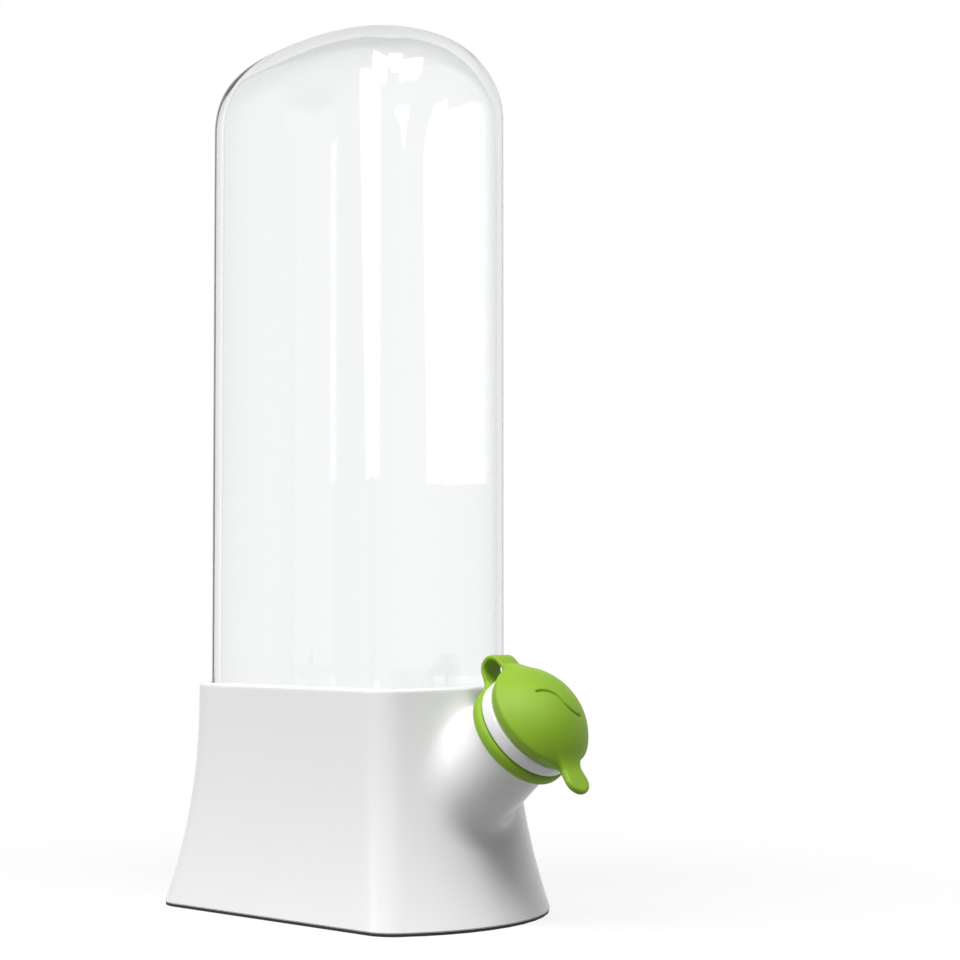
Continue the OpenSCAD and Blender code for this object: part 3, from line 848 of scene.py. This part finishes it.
def moulded(name, first, second, rough, grain, grain_depth, sheen=0.0, soft=0.0, coat=0.0):
    """Moulded plastic or silicone: a faint cloud in the colour, uneven gloss and a fine grain."""
    material, tree, shader, _ = new_material(name)
    cloud = spread(tree, noise(tree, CLOUD_SCALE, 4), 0, 1)
    tree.links.new(two_colours(tree, cloud, first, second), shader.inputs["Base Color"])
    gloss = spread(tree, noise(tree, GLOSS_SCALE, 3), *rough)
    tree.links.new(gloss, shader.inputs["Roughness"])
    grains = bump(tree, noise(tree, grain, 2), GRAIN_STRENGTH, grain_depth)
    tree.links.new(grains, shader.inputs["Normal"])
    shader.inputs["Sheen Weight"].default_value = sheen
    shader.inputs["Sheen Roughness"].default_value = 0.4
    shader.inputs["Coat Weight"].default_value = coat
    shader.inputs["Coat Roughness"].default_value = 0.06
    shader.inputs["Subsurface Weight"].default_value = soft
    shader.inputs["Subsurface Radius"].default_value = (0.0012, 0.0014, 0.0006)
    shader.inputs["Subsurface Scale"].default_value = 1.0
    return material


PAINTED_SHADE_POWER = 3.0                     # how closely the painted shade keeps to the cover's edges
# painted shade: the grey that the cover's colour turns to at its edges
PAINTED_EDGE_SHADE = (0.015, 0.017, 0.018)
CLEAR_COLOUR = (0.99, 0.995, 0.995)


def clear_plastic():
    """Clear moulding whose colour is painted grey where one looks along its wall: painted shade
    standing in for the dark surroundings seen in its edges.
    """
    material, tree, shader, out = new_material("clear_moulding")
    edge = tree.nodes.new("ShaderNodeLayerWeight")
    edge.inputs["Blend"].default_value = 0.5
    steep = tree.nodes.new("ShaderNodeMath")
    steep.operation = "POWER"
    steep.inputs[1].default_value = PAINTED_SHADE_POWER
    tree.links.new(edge.outputs["Facing"], steep.inputs[0])
    # painted shade: the facing weight turns the clear colour grey towards the cover's edges
    tree.links.new(two_colours(tree, steep.outputs["Value"], CLEAR_COLOUR, PAINTED_EDGE_SHADE),
                   shader.inputs["Base Color"])
    shader.inputs["Transmission Weight"].default_value = 1.0
    shader.inputs["IOR"].default_value = 1.5
    tree.links.new(spread(tree, noise(tree, 60, 3), 0.0, 0.015), shader.inputs["Roughness"])
    absorb = tree.nodes.new("ShaderNodeVolumeAbsorption")
    absorb.inputs["Color"].default_value = (0.84, 0.86, 0.86, 1)
    absorb.inputs["Density"].default_value = 45.0
    tree.links.new(absorb.outputs["Volume"], out.inputs["Volume"])
    return material


def screw_metal():
    material, tree, shader, _ = new_material("screw_zinc")
    cloud = spread(tree, noise(tree, 400, 3), 0, 1)
    tree.links.new(two_colours(tree, cloud, (0.52, 0.52, 0.54), (0.62, 0.62, 0.63)),
                   shader.inputs["Base Color"])
    shader.inputs["Metallic"].default_value = 1.0
    tree.links.new(spread(tree, noise(tree, 900, 2), 0.28, 0.42), shader.inputs["Roughness"])
    return material


WHITE = moulded("white_moulding", (0.838, 0.838, 0.84), (0.846, 0.846, 0.846), (0.25, 0.28),
                900, 0.00001, coat=0.1)
GREEN = moulded("green_silicone", (0.205, 0.375, 0.005), (0.235, 0.415, 0.007), (0.52, 0.64),
                2600, 0.00004, sheen=0.05, soft=0.1)
NEAR_BLACK_MOULDING = moulded("dark_rubber", (0.006, 0.006, 0.006), (0.011, 0.011, 0.011), (0.7, 0.85),
                 1800, 0.00008)
MILKY = moulded("milky_silicone", (0.66, 0.66, 0.65), (0.72, 0.72, 0.71), (0.45, 0.6),
                1200, 0.00004, soft=0.2)
CLEAR = clear_plastic()
ZINC = screw_metal()


def dress(obj, material):
    obj.data.materials.clear()
    obj.data.materials.append(material)
    return obj


def add_piece(obj, material, body, slot, *nodes):
    dress(obj, material)
    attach(obj, body)
    if nodes:
        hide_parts(*nodes)
    return obj


# ---------------------------------------------------------------- pieces

add_piece(base_piece(), WHITE, "base", "white_plastic", "base_shell")

lip_corners = [(PASSAGE_R, 0), (LIP_R, 0), (LIP_R, -LIP_T), (SLEEVE_R, -LIP_T),
               (SLEEVE_R, -LIP_T - LIP_SLEEVE), (PASSAGE_R, -LIP_T - LIP_SLEEVE)]
add_piece(lathe("pouring_lip", fillet_profile(lip_corners, LIP_ROUNDING)),
          WHITE, "base", "white_plastic", "spout_lip")

add_piece(collar_piece(), GREEN, "base", "green_silicone", "cap_collar")

add_piece(cap_piece(), GREEN, "stopper", "green_silicone", "spout_cap")

strap = dress(strap_piece(), GREEN)
tuple(spout_point(HINGE_S - BEND_R, HINGE_N, 0.0) * MM)
tuple(spout_point(HINGE_S + BEND_R, HINGE_N, 0.0) * MM)
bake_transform(strap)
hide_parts("cap_strap")

add_piece(cover_piece(), CLEAR, "cover", "clear_cover", "clear_cover")

# the foot pad along the base's lower edge and the lip ring are near-black
for node, material in (("foot_pad", NEAR_BLACK_MOULDING), ("bottom_plate", WHITE), ("bottom_gasket", MILKY),
                       ("plate_screws", ZINC), ("lip_ring", NEAR_BLACK_MOULDING), ("cover_seal", MILKY)):
    dress(frame["nodes"][node], material)


# ---------------------------------------------------------------- floor, light and camera

FLOOR_BOUNCE = (0.18, 0.18, 0.18)    # colour of the light that the floor throws back
FLOOR_SEEN = (0.85, 0.85, 0.85)
FLOOR_WHITE = 0.85                   # share of plain white in the floor near the keeper
FLOOR_FADE = (0.08, 0.26)            # distances over which the rest turns white too, in metres
LAMP_DISTANCE = 1.2
LAMP_AIM = 0.08                      # height that the lamps point at
FLOOR_REACH = 6.0
WORLD_FILL = 0.04                    # strength of the soft light all round
PHOTO_PX = 960                       # the photograph's side
FOCAL_PX = 2027.3                    # fitted focal length, in the photograph's pixels
SHIFT_PX = 48
CAMERA_AT = (0.4298, -0.4374, 0.0906)
CAMERA_LOOK = (-0.6557, 0.7541, 0.0376)


def seen_directly(tree):
    """1 for camera rays and for what is seen in gloss or through glass, 0 for diffuse light."""
    path = tree.nodes.new("ShaderNodeLightPath")
    total = path.outputs["Is Camera Ray"]
    for name in ("Is Glossy Ray", "Is Transmission Ray"):
        either = tree.nodes.new("ShaderNodeMath")
        either.operation = "MAXIMUM"
        tree.links.new(total, either.inputs[0])
        tree.links.new(path.outputs[name], either.inputs[1])
        total = either.outputs["Value"]
    return total


def mix_shaders(tree, factor, first, second):
    node = tree.nodes.new("ShaderNodeMixShader")
    tree.links.new(factor, node.inputs["Fac"])
    tree.links.new(first, node.inputs[1])
    tree.links.new(second, node.inputs[2])
    return node.outputs["Shader"]


def add_floor():
    """White floor that keeps the keeper's soft shadow and fades into the white background."""
    mesh = bpy.data.meshes.new("floor")
    corners = [(x * FLOOR_REACH, y * FLOOR_REACH, 0)
               for x, y in ((-1, -1), (1, -1), (1, 1), (-1, 1))]
    mesh.from_pydata(corners, [], [(0, 1, 2, 3)])
    floor = bpy.data.objects.new("floor", mesh)
    bpy.context.scene.collection.objects.link(floor)
    material, tree, shader, out = new_material("pale_floor")
    shader.inputs["Base Color"].default_value = (*FLOOR_BOUNCE, 1)
    shader.inputs["Roughness"].default_value = 0.8
    white = tree.nodes.new("ShaderNodeEmission")
    white.inputs["Color"].default_value = (1, 1, 1, 1)
    white.inputs["Strength"].default_value = 1.0
    shade = tree.nodes.new("ShaderNodeBsdfDiffuse")
    shade.inputs["Color"].default_value = (*FLOOR_SEEN, 1)
    where = tree.nodes.new("ShaderNodeTexCoord")
    far = tree.nodes.new("ShaderNodeVectorMath")
    far.operation = "LENGTH"
    tree.links.new(where.outputs["Object"], far.inputs[0])
    fade = tree.nodes.new("ShaderNodeMapRange")
    fade.interpolation_type = "SMOOTHSTEP"
    fade.inputs["From Min"].default_value = FLOOR_FADE[0]
    fade.inputs["From Max"].default_value = FLOOR_FADE[1]
    fade.inputs["To Min"].default_value = FLOOR_WHITE
    fade.inputs["To Max"].default_value = 1.0
    tree.links.new(far.outputs["Value"], fade.inputs["Value"])
    seen = mix_shaders(tree, fade.outputs["Result"], shade.outputs["BSDF"],
                       white.outputs["Emission"])
    both = mix_shaders(tree, seen_directly(tree), shader.outputs["BSDF"], seen)
    tree.links.new(both, out.inputs["Surface"])
    dress(floor, material)


def add_area(name, turn, height, size, power):
    """Square lamp at a turn from straight in front (+ towards the spout) and a height angle,
    both in degrees, with its side in metres and its power in watts."""
    turn, height = math.radians(turn), math.radians(height)
    out = Vector((math.sin(turn) * math.cos(height), -math.cos(turn) * math.cos(height),
                  math.sin(height)))
    data = bpy.data.lights.new(name, "AREA")
    data.shape = "SQUARE"
    data.size = size
    data.energy = power
    light = bpy.data.objects.new(name, data)
    bpy.context.scene.collection.objects.link(light)
    light.location = Vector((0, 0, LAMP_AIM)) + out * LAMP_DISTANCE
    light.rotation_euler = (-out).to_track_quat("-Z", "Y").to_euler()


def add_world(level):
    """Soft light all round, and a white background for what is seen directly."""
    world = bpy.data.worlds.new("studio")
    world.use_nodes = True
    tree = world.node_tree
    tree.nodes.clear()
    light = tree.nodes.new("ShaderNodeBackground")
    light.inputs["Color"].default_value = (1, 1, 1, 1)
    light.inputs["Strength"].default_value = level
    white = tree.nodes.new("ShaderNodeBackground")
    white.inputs["Color"].default_value = (1, 1, 1, 1)
    white.inputs["Strength"].default_value = 1.0
    out = tree.nodes.new("ShaderNodeOutputWorld")
    both = mix_shaders(tree, seen_directly(tree), light.outputs["Background"],
                       white.outputs["Background"])
    tree.links.new(both, out.inputs["Surface"])
    bpy.context.scene.world = world


def add_camera():
    """The photograph's camera, fitted to the outlines of the base and the cover."""
    data = bpy.data.cameras.new("photo_camera")
    data.sensor_width = 36.0
    data.lens = FOCAL_PX / PHOTO_PX * data.sensor_width
    data.shift_y = SHIFT_PX / PHOTO_PX
    data.clip_start = 0.01
    camera = bpy.data.objects.new("photo_camera", data)
    bpy.context.scene.collection.objects.link(camera)
    camera.location = CAMERA_AT
    camera.rotation_euler = Vector(CAMERA_LOOK).to_track_quat("-Z", "Y").to_euler()
    bpy.context.scene.camera = camera


add_floor()
add_world(WORLD_FILL)
add_area("high_front", -8, 50, 0.7, 10.0)
add_area("low_left", -25, 22, 0.7, 3.0)
add_area("right_front", 50, 62, 0.5, 6.0)
add_area("spout_side", 80, 48, 0.5, 5.0)
add_camera()
bpy.context.scene.view_settings.view_transform = "Standard"
